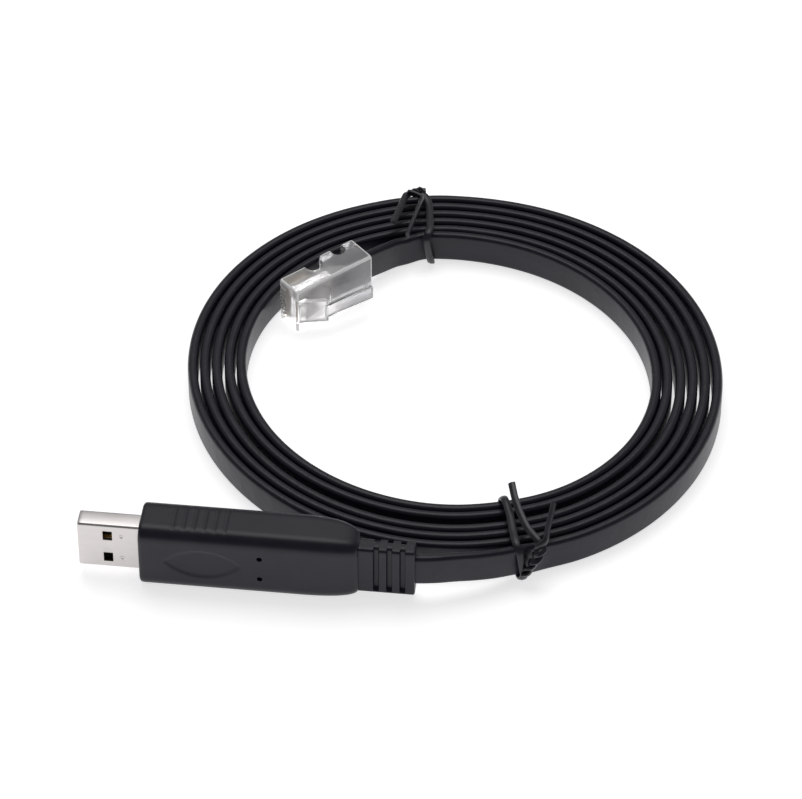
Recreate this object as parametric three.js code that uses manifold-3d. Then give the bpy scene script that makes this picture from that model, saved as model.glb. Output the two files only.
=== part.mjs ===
// A USB console cable, coiled for storage: a USB plug with a long moulded housing, a flat
// cable wound on edge and held by two wire ties, and a clear eight-way modular plug.
// Millimetres, +Z up. The USB plug points to -X, and everything lies on the floor z = 0.
import * as THREE from 'three';
import { mergeVertices } from 'three/addons/utils/BufferGeometryUtils.js';
import Module from 'manifold-3d';

const wasm = await Module();
wasm.setup();

// Clearances
const SEAT_GAP = 0.05;      // between flat faces that seat on each other
const FIT = 0.1;            // round a piece that sits in a pocket
const CORD_GAP = 0.3;       // between the cable's solids, and round them

// USB plug
const SHELL_WIDTH = 12.0;   // stands vertical
const SHELL_THICK = 4.5;
const SHELL_WALL = 0.3;
const SHELL_SHOWN = 13.3;   // length outside the housing
const SHELL_BURIED = 3.5;   // length inside the housing
const SHELL_CORNER = 0.6;
const LATCH_HOLE_LENGTH = 2.0;
const LATCH_HOLE_HEIGHT = 2.5;
const LATCH_HOLE_FRONT = 5.4;     // from the plug's tip to a hole's near edge
const LATCH_HOLE_PITCH = 6.1;     // between the two holes of a face
const TONGUE_SIDE_GAP = 0.2;      // to the shell, on each side
const TONGUE_THICK = 1.85;
const TONGUE_RECESS = 0.6;        // behind the plug's tip
const USB_CONTACT_WIDTH = 1.0;
const USB_CONTACT_THICK = 0.25;
const USB_CONTACT_OFFSETS = [-3.5, -1.0, 1.0, 3.5];
const USB_POWER_START = 1.6;      // the two outer contacts start nearer the tip
const USB_DATA_START = 2.6;
const USB_CONTACT_END = 11.0;

// Moulded housing
const HOUSING_LENGTH = 46.6;
const HOUSING_HEIGHT = 16.0;
const HOUSING_THICK = 11.2;
const HOUSING_CORNER = 2.8;
const HOUSING_FRONT_ROUND = 1.0;
const TAPER_LENGTH = 12.5;        // rounded shoulder down to the strain relief
const TAPER_FULLNESS = 0.95;      // how far along its length the shoulder stays full
const RECESS_LENGTH = 16.4;       // pointed oval in the wide face, left bare
const RECESS_HEIGHT = 7.4;
const RECESS_DEPTH = 0.35;
const RECESS_FROM_FRONT = 13.7;
const LIGHT_HOLE_DIAMETER = 1.2;
const LIGHT_HOLE_DEPTH = 1.0;
const LIGHT_HOLE_PITCH = 5.7;
const LIGHT_HOLE_FROM_FRONT = 25.9;

// Ribbed strain relief
const RELIEF_LENGTH = 11.9;
const RELIEF_HEIGHT = 12.3;
const RELIEF_THICK = 4.0;
const RELIEF_CORNER = 0.7;
const RELIEF_OFFSET = -1.65;      // from the plug's middle plane, towards the recess
const RELIEF_LIP = 0.3;           // how far the housing's end stands proud of the relief
const RELIEF_SLOTS = 3;
const RELIEF_SLOT_WIDTH = 1.1;
const RELIEF_SLOT_PITCH = 2.8;
const RELIEF_SLOT_DEPTH = 0.85;   // cut across each wide face, over its whole height
const RELIEF_SLOT_FROM_END = 2.6; // from the relief's free end to the last slot's middle

// Flat cable, standing on its edge
const CABLE_WIDTH = 7.5;
const CABLE_THICK = 2.2;
const CABLE_ROUND = 0.7;

// Coil of the cable
const COIL_CENTRE = [1.55, 63.8]; // from where the cable leaves the strain relief
const COIL_BORE = 44.6;           // radius
const COIL_TURNS = 6;
const COIL_PITCH = 2.6;           // from turn to turn
const OUTER_TURN_START = -62.5;   // degrees, where the USB lead joins the outermost turn
const OUTER_TURN_MISSING = 62;    // degrees before that, where that turn hasn't begun
const INNER_TURN_END = 108;       // degrees, where the plug lead leaves the innermost turn
const INNER_TURN_MISSING = 150;   // degrees after that, where the plug lies instead
const COIL_GROOVE = 1.5;          // depth of the grooves between the turns
const COIL_GROOVE_WIDTH = 0.9;
const COIL_STEPS = 60;

// Wire ties round the coil
const TIE_WIRE = 1.4;
const TIE_KNOT = 2.4;             // diameter of the two wires twisted together
const TIE_BEND = 1.3;
const TIE_SIDES = 8;

// Clear modular plug, standing on its narrow side
const PLUG_WIDTH = 11.68;         // stands vertical
const PLUG_LENGTH = 21.46;
const PLUG_REAR_THICK = 7.72;
const PLUG_NOSE_THICK = 6.6;
const PLUG_NOSE_LENGTH = 11.4;    // up to the step on the contact side
const PLUG_REAR_FROM_COIL = [-24.85, 33.57]; // its middle, from the coil's centre
const PLUG_HEADING = 44.4;        // degrees, from the nose to the rear
const PLUG_CAVITY_HEIGHT = 8.6;
const PLUG_CAVITY_THICK = 4.4;
const PLUG_CAVITY_LENGTH = 11.0;
const CHANNEL_START = 1.6;        // behind the nose
const CONDUCTORS = 8;
const CONDUCTOR_PITCH = 1.02;
const CONDUCTOR_DIAMETER = 0.86;
const BLADE_THICK = 0.35;
const BLADE_START = 1.2;
const BLADE_LENGTH = 5.4;
const BLADE_BELOW_FACE = 0.45;
const PLUG_BAR_POCKETS = [[12.6, 2.2], [16.6, 3.2]];  // start and length, from the nose
const PLUG_BAR_POCKET_DEPTH = 0.9;
const LATCH_ROOT_WIDTH = 6.0;
const LATCH_ROOT_START = 0.5;
const LATCH_ROOT_LENGTH = 2.0;    // where it grows out of the plug's face
const LATCH_BEND = 6.2;           // from the nose to where the wide part ends
const LATCH_BEND_OFF = 3.1;       // its middle there, from the plug's face
const LATCH_TAB_WIDTH = 3.3;
const LATCH_REACH = 18.0;         // the tab's end, from the nose
const LATCH_STAND_OFF = 4.2;      // its middle there, from the plug's face
const LATCH_THICK = 1.0;

const AXIS_HEIGHT = HOUSING_HEIGHT / 2;
const HOUSING_START = SHELL_SHOWN;
const HOUSING_END = HOUSING_START + HOUSING_LENGTH;
const RELIEF_START = HOUSING_END + SEAT_GAP;
const RELIEF_END = RELIEF_START + RELIEF_LENGTH;
const COIL_RIM = COIL_BORE + COIL_TURNS * COIL_PITCH;
const TONGUE_WIDTH = SHELL_WIDTH - 2 * SHELL_WALL - 2 * TONGUE_SIDE_GAP;

const materials = {
  nickel: new THREE.MeshStandardMaterial({ color: 0xcfc9c6, roughness: 0.3, metalness: 0.9 }),
  gold: new THREE.MeshStandardMaterial({ color: 0xd8ab4e, roughness: 0.3, metalness: 1.0 }),
  tongue: new THREE.MeshStandardMaterial({ color: 0x1c1c1f, roughness: 0.5 }),
  housing: new THREE.MeshStandardMaterial({ color: 0x2b2b2f, roughness: 0.55 }),
  cable: new THREE.MeshStandardMaterial({ color: 0x26262a, roughness: 0.5 }),
  tie: new THREE.MeshStandardMaterial({ color: 0x1a1a1d, roughness: 0.45 }),
  clear: new THREE.MeshStandardMaterial({
    color: 0xe9e6e2, roughness: 0.12, transparent: true, opacity: 0.4,
  }),
  conductor: new THREE.MeshStandardMaterial({ color: 0x8f8f96, roughness: 0.5 }),
};

const model = new THREE.Group();

// The cable and all that is on it, placed from where the cable leaves the strain relief
const cable = new THREE.Group();
cable.position.x = RELIEF_END;
model.add(cable);

// Solids

function solid(geometry) {
  const bare = geometry.index ? geometry.toNonIndexed() : geometry.clone();
  bare.deleteAttribute('normal');
  bare.deleteAttribute('uv');
  const merged = mergeVertices(bare, 1e-4);
  return new wasm.Manifold(new wasm.Mesh({
    numProp: 3,
    vertProperties: Float32Array.from(merged.attributes.position.array),
    triVerts: Uint32Array.from(merged.index.array),
  }));
}

function geometryOf(body) {
  const mesh = body.getMesh();
  const geometry = new THREE.BufferGeometry();
  geometry.setAttribute('position', new THREE.BufferAttribute(mesh.vertProperties, 3));
  geometry.setIndex(new THREE.BufferAttribute(mesh.triVerts, 1));
  geometry.computeVertexNormals();
  return geometry;
}

function cut(body, tools) {
  return tools.reduce((left, tool) => left.subtract(tool), body);
}

function join(bodies) {
  return bodies.reduce((whole, body) => whole.add(body));
}

function put(name, geometry, material, parent = model) {
  const mesh = new THREE.Mesh(geometry, material);
  mesh.name = name;
  parent.add(mesh);
  return mesh;
}

// A block given by its lowest corner and its size
function block(corner, size) {
  const geometry = new THREE.BoxGeometry(...size);
  geometry.translate(...corner.map((low, k) => low + size[k] / 2));
  return geometry;
}

// Outlines

function roundedRectangle(width, height, radius) {
  const x = width / 2 - radius;
  const y = height / 2 - radius;
  const shape = new THREE.Shape();
  shape.moveTo(x + radius, -y);
  shape.lineTo(x + radius, y);
  shape.absarc(x, y, radius, 0, Math.PI / 2, false);
  shape.lineTo(-x, y + radius);
  shape.absarc(-x, y, radius, Math.PI / 2, Math.PI, false);
  shape.lineTo(-x - radius, -y);
  shape.absarc(-x, -y, radius, Math.PI, Math.PI * 1.5, false);
  shape.lineTo(x, -y - radius);
  shape.absarc(x, -y, radius, Math.PI * 1.5, Math.PI * 2, false);
  return shape;
}

// A round bar's or a flat bar's section, one corner point for each step of its rounding
function flatSection(thick, width, radius) {
  const x = thick / 2;
  const y = width / 2;
  return new THREE.Shape([
    [x, -y + radius], [x, y - radius], [x - radius, y], [-x + radius, y],
    [-x, y - radius], [-x, -y + radius], [-x + radius, -y], [x - radius, -y],
  ].map(([u, v]) => new THREE.Vector2(u, v)));
}

// An outline drawn in (thickness along Y, height along Z), extruded from x0 to x1
function alongX(shape, x0, x1, curveSegments = 6) {
  const geometry = new THREE.ExtrudeGeometry(shape, {
    depth: x1 - x0, bevelEnabled: false, curveSegments,
  });
  geometry.rotateX(Math.PI / 2);
  geometry.rotateZ(Math.PI / 2);
  geometry.translate(x0, 0, 0);
  return geometry;
}

// An outline drawn in (X, Z), extruded along Y through the middle plane
function alongY(shape, thick, curveSegments = 6) {
  const geometry = new THREE.ExtrudeGeometry(shape, {
    depth: thick, bevelEnabled: false, curveSegments,
  });
  geometry.rotateX(Math.PI / 2);
  geometry.translate(0, thick / 2, 0);
  return geometry;
}

// An outline drawn in (X, Y), extruded upwards from z0
function alongZ(shape, z0, height, curveSegments = 6) {
  const geometry = new THREE.ExtrudeGeometry(shape, {
    depth: height, bevelEnabled: false, curveSegments,
  });
  geometry.translate(0, 0, z0);
  return geometry;
}

// The housing's outline along its length: rounded edges at the front, and at the back a
// round shoulder down to the end's two sides, which may lie off the middle
function housingOutline(half, endLow, endHigh) {
  const shape = new THREE.Shape();
  const front = HOUSING_START;
  const shoulder = HOUSING_END - TAPER_LENGTH;
  const full = shoulder + TAPER_LENGTH * TAPER_FULLNESS;
  shape.moveTo(front, -half + HOUSING_FRONT_ROUND);
  shape.quadraticCurveTo(front, -half, front + HOUSING_FRONT_ROUND, -half);
  shape.lineTo(shoulder, -half);
  shape.quadraticCurveTo(full, -half, HOUSING_END, endLow);
  shape.lineTo(HOUSING_END, endHigh);
  shape.quadraticCurveTo(full, half, shoulder, half);
  shape.lineTo(front + HOUSING_FRONT_ROUND, half);
  shape.quadraticCurveTo(front, half, front, half - HOUSING_FRONT_ROUND);
  shape.closePath();
  return shape;
}

function pointedOval(length, height) {
  const shape = new THREE.Shape();
  shape.moveTo(-length / 2, 0);
  shape.bezierCurveTo(-length / 4, -height * 0.66, length / 4, -height * 0.66, length / 2, 0);
  shape.bezierCurveTo(length / 4, height * 0.66, -length / 4, height * 0.66, -length / 2, 0);
  return shape;
}

// A smooth curve through the given points
function smoothPath(points) {
  const places = points.map((point) => new THREE.Vector3(...point));
  return new THREE.CatmullRomCurve3(places, false, 'centripetal');
}

// The same curve for a flat bar that stays upright: the section's first axis is vertical
function uprightPath(points) {
  const path = smoothPath(points);
  path.computeFrenetFrames = (steps) => {
    const frames = { tangents: [], normals: [], binormals: [] };
    for (let k = 0; k <= steps; k += 1) {
      const tangent = path.getTangentAt(k / steps);
      const left = new THREE.Vector3(-tangent.y, tangent.x, 0).normalize();
      frames.tangents.push(tangent);
      frames.binormals.push(left);
      frames.normals.push(new THREE.Vector3().crossVectors(left, tangent));
    }
    return frames;
  };
  return path;
}

// Straight runs between corners that are rounded by the given length on each side
function roundedPath(points, bend) {
  const corners = points.map((point) => new THREE.Vector3(...point));
  const path = new THREE.CurvePath();
  const towards = (corner, other) => corner.clone().add(other.clone().sub(corner).setLength(bend));
  let from = corners[0];
  for (let k = 1; k < corners.length - 1; k += 1) {
    const enter = towards(corners[k], corners[k - 1]);
    const leave = towards(corners[k], corners[k + 1]);
    path.add(new THREE.LineCurve3(from, enter));
    path.add(new THREE.QuadraticBezierCurve3(enter, corners[k], leave));
    from = leave;
  }
  path.add(new THREE.LineCurve3(from, corners[corners.length - 1]));
  return path;
}

// A bar with the given section, swept along a path
function sweep(section, path, steps) {
  return new THREE.ExtrudeGeometry(section, { steps, bevelEnabled: false, extrudePath: path });
}

function roundSection(diameter, sides) {
  const corners = [];
  for (let k = 0; k < sides; k += 1) {
    const turn = (2 * Math.PI * k) / sides;
    corners.push(new THREE.Vector2(diameter / 2 * Math.cos(turn), diameter / 2 * Math.sin(turn)));
  }
  return new THREE.Shape(corners);
}

// USB plug

function usbPlug() {
  const buriedEnd = SHELL_SHOWN + SHELL_BURIED;
  const outer = alongX(roundedRectangle(SHELL_THICK, SHELL_WIDTH, SHELL_CORNER), 0, buriedEnd);
  const inner = alongX(
    roundedRectangle(
      SHELL_THICK - 2 * SHELL_WALL, SHELL_WIDTH - 2 * SHELL_WALL, SHELL_CORNER - SHELL_WALL,
    ),
    -1, buriedEnd + 1,
  );
  const holes = [-1, 1].map((side) => solid(block(
    [LATCH_HOLE_FRONT, -SHELL_THICK, side * LATCH_HOLE_PITCH / 2 - LATCH_HOLE_HEIGHT / 2],
    [LATCH_HOLE_LENGTH, 2 * SHELL_THICK, LATCH_HOLE_HEIGHT],
  )));
  const shell = cut(solid(outer), [solid(inner), ...holes]);
  const plug = new THREE.Group();
  plug.position.z = AXIS_HEIGHT;
  put('usb_shell', geometryOf(shell), materials.nickel, plug);

  const tongueBack = SHELL_THICK / 2 - SHELL_WALL - SEAT_GAP;
  const tongueFace = tongueBack - TONGUE_THICK;
  put('usb_tongue', block(
    [TONGUE_RECESS, tongueFace, -TONGUE_WIDTH / 2],
    [buriedEnd - TONGUE_RECESS, TONGUE_THICK, TONGUE_WIDTH],
  ), materials.tongue, plug);
  USB_CONTACT_OFFSETS.forEach((offset, k) => {
    const outside = k === 0 || k === USB_CONTACT_OFFSETS.length - 1;
    const start = outside ? USB_POWER_START : USB_DATA_START;
    put(`usb_contact_${k + 1}`, block(
      [start, tongueFace - SEAT_GAP - USB_CONTACT_THICK, offset - USB_CONTACT_WIDTH / 2],
      [USB_CONTACT_END - start, USB_CONTACT_THICK, USB_CONTACT_WIDTH],
    ), materials.gold, plug);
  });
  model.add(plug);
}

// Housing and strain relief

function housing() {
  const bar = solid(alongX(
    roundedRectangle(HOUSING_THICK, HOUSING_HEIGHT, HOUSING_CORNER),
    HOUSING_START, HOUSING_END, 5,
  ));
  const endHeight = RELIEF_HEIGHT / 2 + RELIEF_LIP;
  const endThick = RELIEF_THICK / 2 + RELIEF_LIP;
  const side = solid(alongY(
    housingOutline(HOUSING_HEIGHT / 2, -endHeight, endHeight), HOUSING_THICK * 2, 8,
  ));
  const plan = solid(alongZ(
    housingOutline(HOUSING_THICK / 2, RELIEF_OFFSET - endThick, RELIEF_OFFSET + endThick),
    -HOUSING_HEIGHT, HOUSING_HEIGHT * 2, 8,
  ));
  const pocket = solid(block(
    [HOUSING_START - 1, -SHELL_THICK / 2 - FIT, -SHELL_WIDTH / 2 - FIT],
    [SHELL_BURIED + FIT + 1, SHELL_THICK + 2 * FIT, SHELL_WIDTH + 2 * FIT],
  ));
  const recess = alongY(pointedOval(RECESS_LENGTH, RECESS_HEIGHT), RECESS_DEPTH * 2, 8);
  recess.translate(HOUSING_START + RECESS_FROM_FRONT, -HOUSING_THICK / 2, 0);
  const lightHoles = [-1, 1].map((sign) => {
    const hole = new THREE.CylinderGeometry(
      LIGHT_HOLE_DIAMETER / 2, LIGHT_HOLE_DIAMETER / 2, LIGHT_HOLE_DEPTH * 2, 16,
    );
    hole.translate(
      HOUSING_START + LIGHT_HOLE_FROM_FRONT, -HOUSING_THICK / 2, sign * LIGHT_HOLE_PITCH / 2,
    );
    return solid(hole);
  });
  const body = cut(bar.intersect(side).intersect(plan), [pocket, solid(recess), ...lightHoles]);
  put('usb_housing', geometryOf(body), materials.housing).position.z = AXIS_HEIGHT;
}

function strainRelief() {
  const tools = [];
  for (let k = 0; k < RELIEF_SLOTS; k += 1) {
    const x = RELIEF_END - RELIEF_SLOT_FROM_END - k * RELIEF_SLOT_PITCH - RELIEF_SLOT_WIDTH / 2;
    for (const side of [-1, 1]) {
      tools.push(solid(block(
        [x, side * RELIEF_THICK / 2 - RELIEF_SLOT_DEPTH, -RELIEF_HEIGHT],
        [RELIEF_SLOT_WIDTH, RELIEF_SLOT_DEPTH * 2, RELIEF_HEIGHT * 2],
      )));
    }
  }
  const bar = solid(alongX(
    roundedRectangle(RELIEF_THICK, RELIEF_HEIGHT, RELIEF_CORNER), RELIEF_START, RELIEF_END, 4,
  ));
  const relief = put('strain_relief', geometryOf(cut(bar, tools)), materials.housing);
  relief.position.set(0, RELIEF_OFFSET, AXIS_HEIGHT);
}

// Cable: two free leads and the coil between them

// A point given from the coil's centre, in the cable's frame
function fromCoil([x, y, z]) {
  return [COIL_CENTRE[0] + x, COIL_CENTRE[1] + y, z];
}

const USB_LEAD_POINTS = [
  [CORD_GAP, RELIEF_OFFSET, AXIS_HEIGHT],
  [4.2, -0.95, 7.85],
  [8.2, 0.4, 7.45],
  [12.2, 1.8, 6.9],
  [16.4, 3.7, 6.2],
  fromCoil([19.05, -57.7, 5.5]),
  fromCoil([22.25, -55.6, 4.5]),
  fromCoil([24.45, -54.05, 3.85]),
  fromCoil([26.85, -52.6, 3.75]),
];

// A point in the plug's own frame, a distance behind its rear (inside it where negative)
function behindPlug(distance) {
  const heading = THREE.MathUtils.degToRad(PLUG_HEADING);
  return [
    COIL_CENTRE[0] + PLUG_REAR_FROM_COIL[0] + distance * Math.cos(heading),
    COIL_CENTRE[1] + PLUG_REAR_FROM_COIL[1] + distance * Math.sin(heading),
    PLUG_WIDTH / 2,
  ];
}

const PLUG_LEAD_POINTS = [
  fromCoil([-14.45, 43.5, 3.75]),
  fromCoil([-15.95, 42.92, 3.8]),
  fromCoil([-18.1, 41.45, 4.1]),
  fromCoil([-20.2, 39.15, 4.6]),
  fromCoil([-22.05, 36.8, 5.25]),
  behindPlug(0),
  behindPlug(-PLUG_CAVITY_LENGTH / 2),
  behindPlug(2 * CORD_GAP - PLUG_CAVITY_LENGTH),
];

function lead(points, steps) {
  return sweep(flatSection(CABLE_WIDTH, CABLE_THICK, CABLE_ROUND), uprightPath(points), steps);
}

// The coil's section: a row of cable edges, with a groove between each two
function coilSection() {
  const half = COIL_GROOVE_WIDTH / 2;
  const top = [];
  for (let k = 0; k < COIL_TURNS; k += 1) {
    const inside = COIL_BORE + k * COIL_PITCH;
    const outside = inside + COIL_PITCH;
    const chamfer = k === 0 ? CABLE_ROUND : half;
    const lastChamfer = k === COIL_TURNS - 1 ? CABLE_ROUND : half;
    if (k === 0) {
      top.push([inside, CABLE_ROUND]);
    }
    top.push([inside + chamfer, 0]);
    top.push([outside - lastChamfer, 0]);
    top.push([outside, k === COIL_TURNS - 1 ? CABLE_ROUND : COIL_GROOVE]);
  }
  const lower = top.map(([r, depth]) => new THREE.Vector2(r, depth));
  const upper = top.map(([r, depth]) => new THREE.Vector2(r, CABLE_WIDTH - depth)).reverse();
  const outline = [...lower, ...upper];
  return [...outline, outline[0]];
}

function coil() {
  const ring = new THREE.LatheGeometry(coilSection(), COIL_STEPS);
  ring.rotateX(Math.PI / 2);
  ring.translate(COIL_CENTRE[0], COIL_CENTRE[1], 0);
  const body = cut(solid(ring), [
    missingArc(
      COIL_RIM - COIL_PITCH, COIL_RIM + 1,
      OUTER_TURN_START - OUTER_TURN_MISSING, OUTER_TURN_START,
    ),
    missingArc(
      COIL_BORE - 1, COIL_BORE + COIL_PITCH,
      INNER_TURN_END, INNER_TURN_END + INNER_TURN_MISSING,
    ),
    ...TIES.map((tie) => solid(tieRoom(tie))),
  ]);
  put('cable_coil', geometryOf(body), materials.cable, cable);
}

// A stretch of one turn that the spiral doesn't reach, between two radii and two angles
function missingArc(inside, outside, fromAngle, toAngle) {
  const from = THREE.MathUtils.degToRad(fromAngle);
  const to = THREE.MathUtils.degToRad(toAngle);
  const shape = new THREE.Shape();
  shape.absarc(0, 0, outside, from, to, false);
  shape.absarc(0, 0, inside, to, from, true);
  shape.closePath();
  const arc = alongZ(shape, -1, CABLE_WIDTH + 2, COIL_STEPS / 2);
  arc.translate(COIL_CENTRE[0], COIL_CENTRE[1], 0);
  return solid(arc);
}

// Ties: each a wire loop round the coil's section, a twisted knot and two free ends.
// Points are (distance outside the coil's rim, distance along it, height above its top).

const TIES = [
  {
    name: 'wire_tie_front',
    angle: -71.0,
    outside: 2.3,
    above: 2.7,
    knot: [[2.4, 4.0, 2.9], [3.0, 3.2, 0.6], [3.1, 2.0, -1.6], [2.8, 0.8, -4.0]],
    ends: [
      [[2.4, 4.0, 2.9], [-2.8, 2.3, 3.6], [-7.6, 1.8, 4.1], [-15.0, 1.8, 5.5]],
      [[2.4, 4.0, 2.9], [1.6, 5.0, 3.6], [-0.9, 6.3, 4.5], [-6.5, 8.9, 6.0]],
    ],
  },
  {
    name: 'wire_tie_back',
    angle: 103.2,
    outside: CORD_GAP + TIE_WIRE / 2,
    above: 2.0,
    knot: [[-2.4, 0.0, 2.2], [-2.6, 1.5, 3.0], [-2.8, 2.9, 3.3], [-2.4, 3.7, 3.3]],
    ends: [
      [[-2.4, 3.7, 3.3], [-5.7, 5.2, 3.7], [-9.5, 6.7, 3.9], [-13.7, 8.5, 4.1]],
      [[-2.8, 1.5, 3.0], [-9.8, 2.3, 3.7], [-13.5, 3.9, 3.9], [-19.0, 5.9, 4.1]],
    ],
  },
];

// From a tie's point to the cable's frame
function atCoil(angle, [outside, along, above]) {
  const turn = THREE.MathUtils.degToRad(angle);
  const radius = COIL_RIM + outside;
  return [
    COIL_CENTRE[0] + radius * Math.cos(turn) - along * Math.sin(turn),
    COIL_CENTRE[1] + radius * Math.sin(turn) + along * Math.cos(turn),
    CABLE_WIDTH + above,
  ];
}

// The trench under the coil that lets the wire pass at floor level
function tieRoom(tie) {
  const length = (COIL_RIM - COIL_BORE) * 2;
  const width = TIE_WIRE + 2 * CORD_GAP;
  const depth = TIE_WIRE + CORD_GAP;
  const room = new THREE.BoxGeometry(length, width, depth * 2);
  room.translate((COIL_RIM + COIL_BORE) / 2, 0, 0);
  room.rotateZ(THREE.MathUtils.degToRad(tie.angle));
  room.translate(COIL_CENTRE[0], COIL_CENTRE[1], 0);
  return room;
}

// The loop is swept in two halves that overlap, because a swept bar has open ends
function tieLoop(tie) {
  const inside = COIL_BORE - CORD_GAP - TIE_WIRE / 2 - COIL_RIM;
  const below = TIE_WIRE / 2 - CABLE_WIDTH;
  const { outside, above } = tie;
  const middle = (inside + outside) / 2;
  const halves = [
    [[middle - 1, below], [outside, below], [outside, above], [middle - 1, above]],
    [[middle + 1, above], [inside, above], [inside, below], [middle + 1, below]],
  ];
  return halves.map((half) => solid(sweep(
    roundSection(TIE_WIRE, TIE_SIDES),
    roundedPath(half.map(([out, up]) => atCoil(tie.angle, [out, 0, up])), TIE_BEND),
    24,
  )));
}

function wireTies() {
  for (const tie of TIES) {
    const bar = (points, diameter) => solid(sweep(
      roundSection(diameter, TIE_SIDES),
      smoothPath(points.map((point) => atCoil(tie.angle, point))),
      10,
    ));
    const knot = bar(tie.knot, TIE_KNOT);
    const ends = tie.ends.map((points) => bar(points, TIE_WIRE));
    put(tie.name, geometryOf(join([...tieLoop(tie), knot, ...ends])), materials.tie, cable);
  }
}

// Modular plug, drawn with its nose at the origin, its length along +X and the contacts
// on its +Y side, then turned into place

const PLUG_BACK_FACE = -PLUG_REAR_THICK / 2;                  // the latch side
const PLUG_NOSE_FACE = PLUG_BACK_FACE + PLUG_NOSE_THICK;      // the contact side, at the nose
const CONDUCTOR_Y = 0;

function plugBody() {
  const chamfer = 0.5;
  const profile = new THREE.Shape([
    [0, PLUG_BACK_FACE + chamfer], [chamfer, PLUG_BACK_FACE], [PLUG_LENGTH, PLUG_BACK_FACE],
    [PLUG_LENGTH, -PLUG_BACK_FACE], [PLUG_NOSE_LENGTH + 1, -PLUG_BACK_FACE],
    [PLUG_NOSE_LENGTH, PLUG_NOSE_FACE], [chamfer, PLUG_NOSE_FACE], [0, PLUG_NOSE_FACE - chamfer],
  ].map(([x, y]) => new THREE.Vector2(x, y)));
  const box = solid(alongZ(profile, 0, PLUG_WIDTH));
  const middle = PLUG_WIDTH / 2;
  const cavity = solid(block(
    [PLUG_LENGTH - PLUG_CAVITY_LENGTH, -PLUG_CAVITY_THICK / 2, middle - PLUG_CAVITY_HEIGHT / 2],
    [PLUG_CAVITY_LENGTH + 1, PLUG_CAVITY_THICK, PLUG_CAVITY_HEIGHT],
  ));
  const channelHeight = CONDUCTORS * CONDUCTOR_PITCH + 2 * FIT;
  const channelThick = CONDUCTOR_DIAMETER + 2 * FIT;
  const channel = solid(block(
    [CHANNEL_START, CONDUCTOR_Y - channelThick / 2, middle - channelHeight / 2],
    [PLUG_LENGTH - CHANNEL_START - 1, channelThick, channelHeight],
  ));
  const slots = conductorHeights().map((z) => solid(block(
    [BLADE_START - FIT, CONDUCTOR_Y, z - BLADE_THICK / 2 - FIT],
    [BLADE_LENGTH + 2 * FIT, PLUG_NOSE_THICK, BLADE_THICK + 2 * FIT],
  )));
  const pockets = PLUG_BAR_POCKETS.map(([start, length]) => solid(block(
    [start, -PLUG_BACK_FACE - PLUG_BAR_POCKET_DEPTH, middle - PLUG_CAVITY_HEIGHT / 2],
    [length, PLUG_BAR_POCKET_DEPTH * 2, PLUG_CAVITY_HEIGHT],
  )));
  return cut(box, [cavity, channel, ...slots, ...pockets]).add(plugLatch());
}

// The springy latch: a wide root that rises from the nose, then a narrow tab
function plugLatch() {
  const half = LATCH_THICK / 2;
  const strip = (corners, width) => solid(alongZ(
    new THREE.Shape(corners.map(([x, off]) => new THREE.Vector2(x, PLUG_BACK_FACE - off))),
    (PLUG_WIDTH - width) / 2, width,
  ));
  const rootEnd = LATCH_ROOT_START + LATCH_ROOT_LENGTH;
  const root = strip([
    [LATCH_ROOT_START, -half], [rootEnd, -half], [rootEnd, 0],
    [LATCH_BEND, LATCH_BEND_OFF - half], [LATCH_BEND, LATCH_BEND_OFF + half],
    [LATCH_ROOT_START, half],
  ], LATCH_ROOT_WIDTH);
  const tab = strip([
    [LATCH_BEND - LATCH_THICK, LATCH_BEND_OFF - LATCH_THICK],
    [LATCH_REACH, LATCH_STAND_OFF - half],
    [LATCH_REACH, LATCH_STAND_OFF + half], [LATCH_BEND - half, LATCH_BEND_OFF + half],
  ], LATCH_TAB_WIDTH);
  return join([root, tab]);
}

function conductorHeights() {
  const heights = [];
  for (let k = 0; k < CONDUCTORS; k += 1) {
    heights.push(PLUG_WIDTH / 2 + (k - (CONDUCTORS - 1) / 2) * CONDUCTOR_PITCH);
  }
  return heights;
}

function modularPlug() {
  const plug = new THREE.Group();
  const [noseX, noseY] = behindPlug(-PLUG_LENGTH);
  plug.position.set(noseX, noseY, 0);
  plug.rotation.z = THREE.MathUtils.degToRad(PLUG_HEADING);
  put('rj45_body', geometryOf(plugBody()), materials.clear, plug);

  const jacketEnd = PLUG_LENGTH - PLUG_CAVITY_LENGTH + CORD_GAP;
  conductorHeights().forEach((z, k) => {
    const start = CHANNEL_START + FIT;
    const wire = new THREE.CylinderGeometry(
      CONDUCTOR_DIAMETER / 2, CONDUCTOR_DIAMETER / 2, jacketEnd - CORD_GAP - start, 10,
    );
    wire.rotateZ(Math.PI / 2);
    wire.translate((start + jacketEnd - CORD_GAP) / 2, CONDUCTOR_Y, z);
    put(`conductor_${k + 1}`, wire, materials.conductor, plug);
    const bladeFoot = CONDUCTOR_Y + CONDUCTOR_DIAMETER / 2 + SEAT_GAP;
    put(`rj45_contact_${k + 1}`, block(
      [BLADE_START, bladeFoot, z - BLADE_THICK / 2],
      [BLADE_LENGTH, PLUG_NOSE_FACE - BLADE_BELOW_FACE - bladeFoot, BLADE_THICK],
    ), materials.gold, plug);
  });
  cable.add(plug);
}

usbPlug();
housing();
strainRelief();
put('cable_usb_lead', lead(USB_LEAD_POINTS, 18), materials.cable, cable);
coil();
put('cable_plug_lead', lead(PLUG_LEAD_POINTS, 18), materials.cable, cable);
modularPlug();
wireTies();

// The origin is the middle of the model's box, on the floor
const bounds = new THREE.Box3().setFromObject(model);
model.position.set(
  -(bounds.min.x + bounds.max.x) / 2,
  -(bounds.min.y + bounds.max.y) / 2,
  -bounds.min.z,
);

export default model;
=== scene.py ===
# A USB console cable, coiled for storage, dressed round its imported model.
# The model's frame is in metres. Sizes here are millimetres, measured from the tip of the
# USB plug, its middle plane and the floor, and at() turns them into the model's frame.
import math

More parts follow.
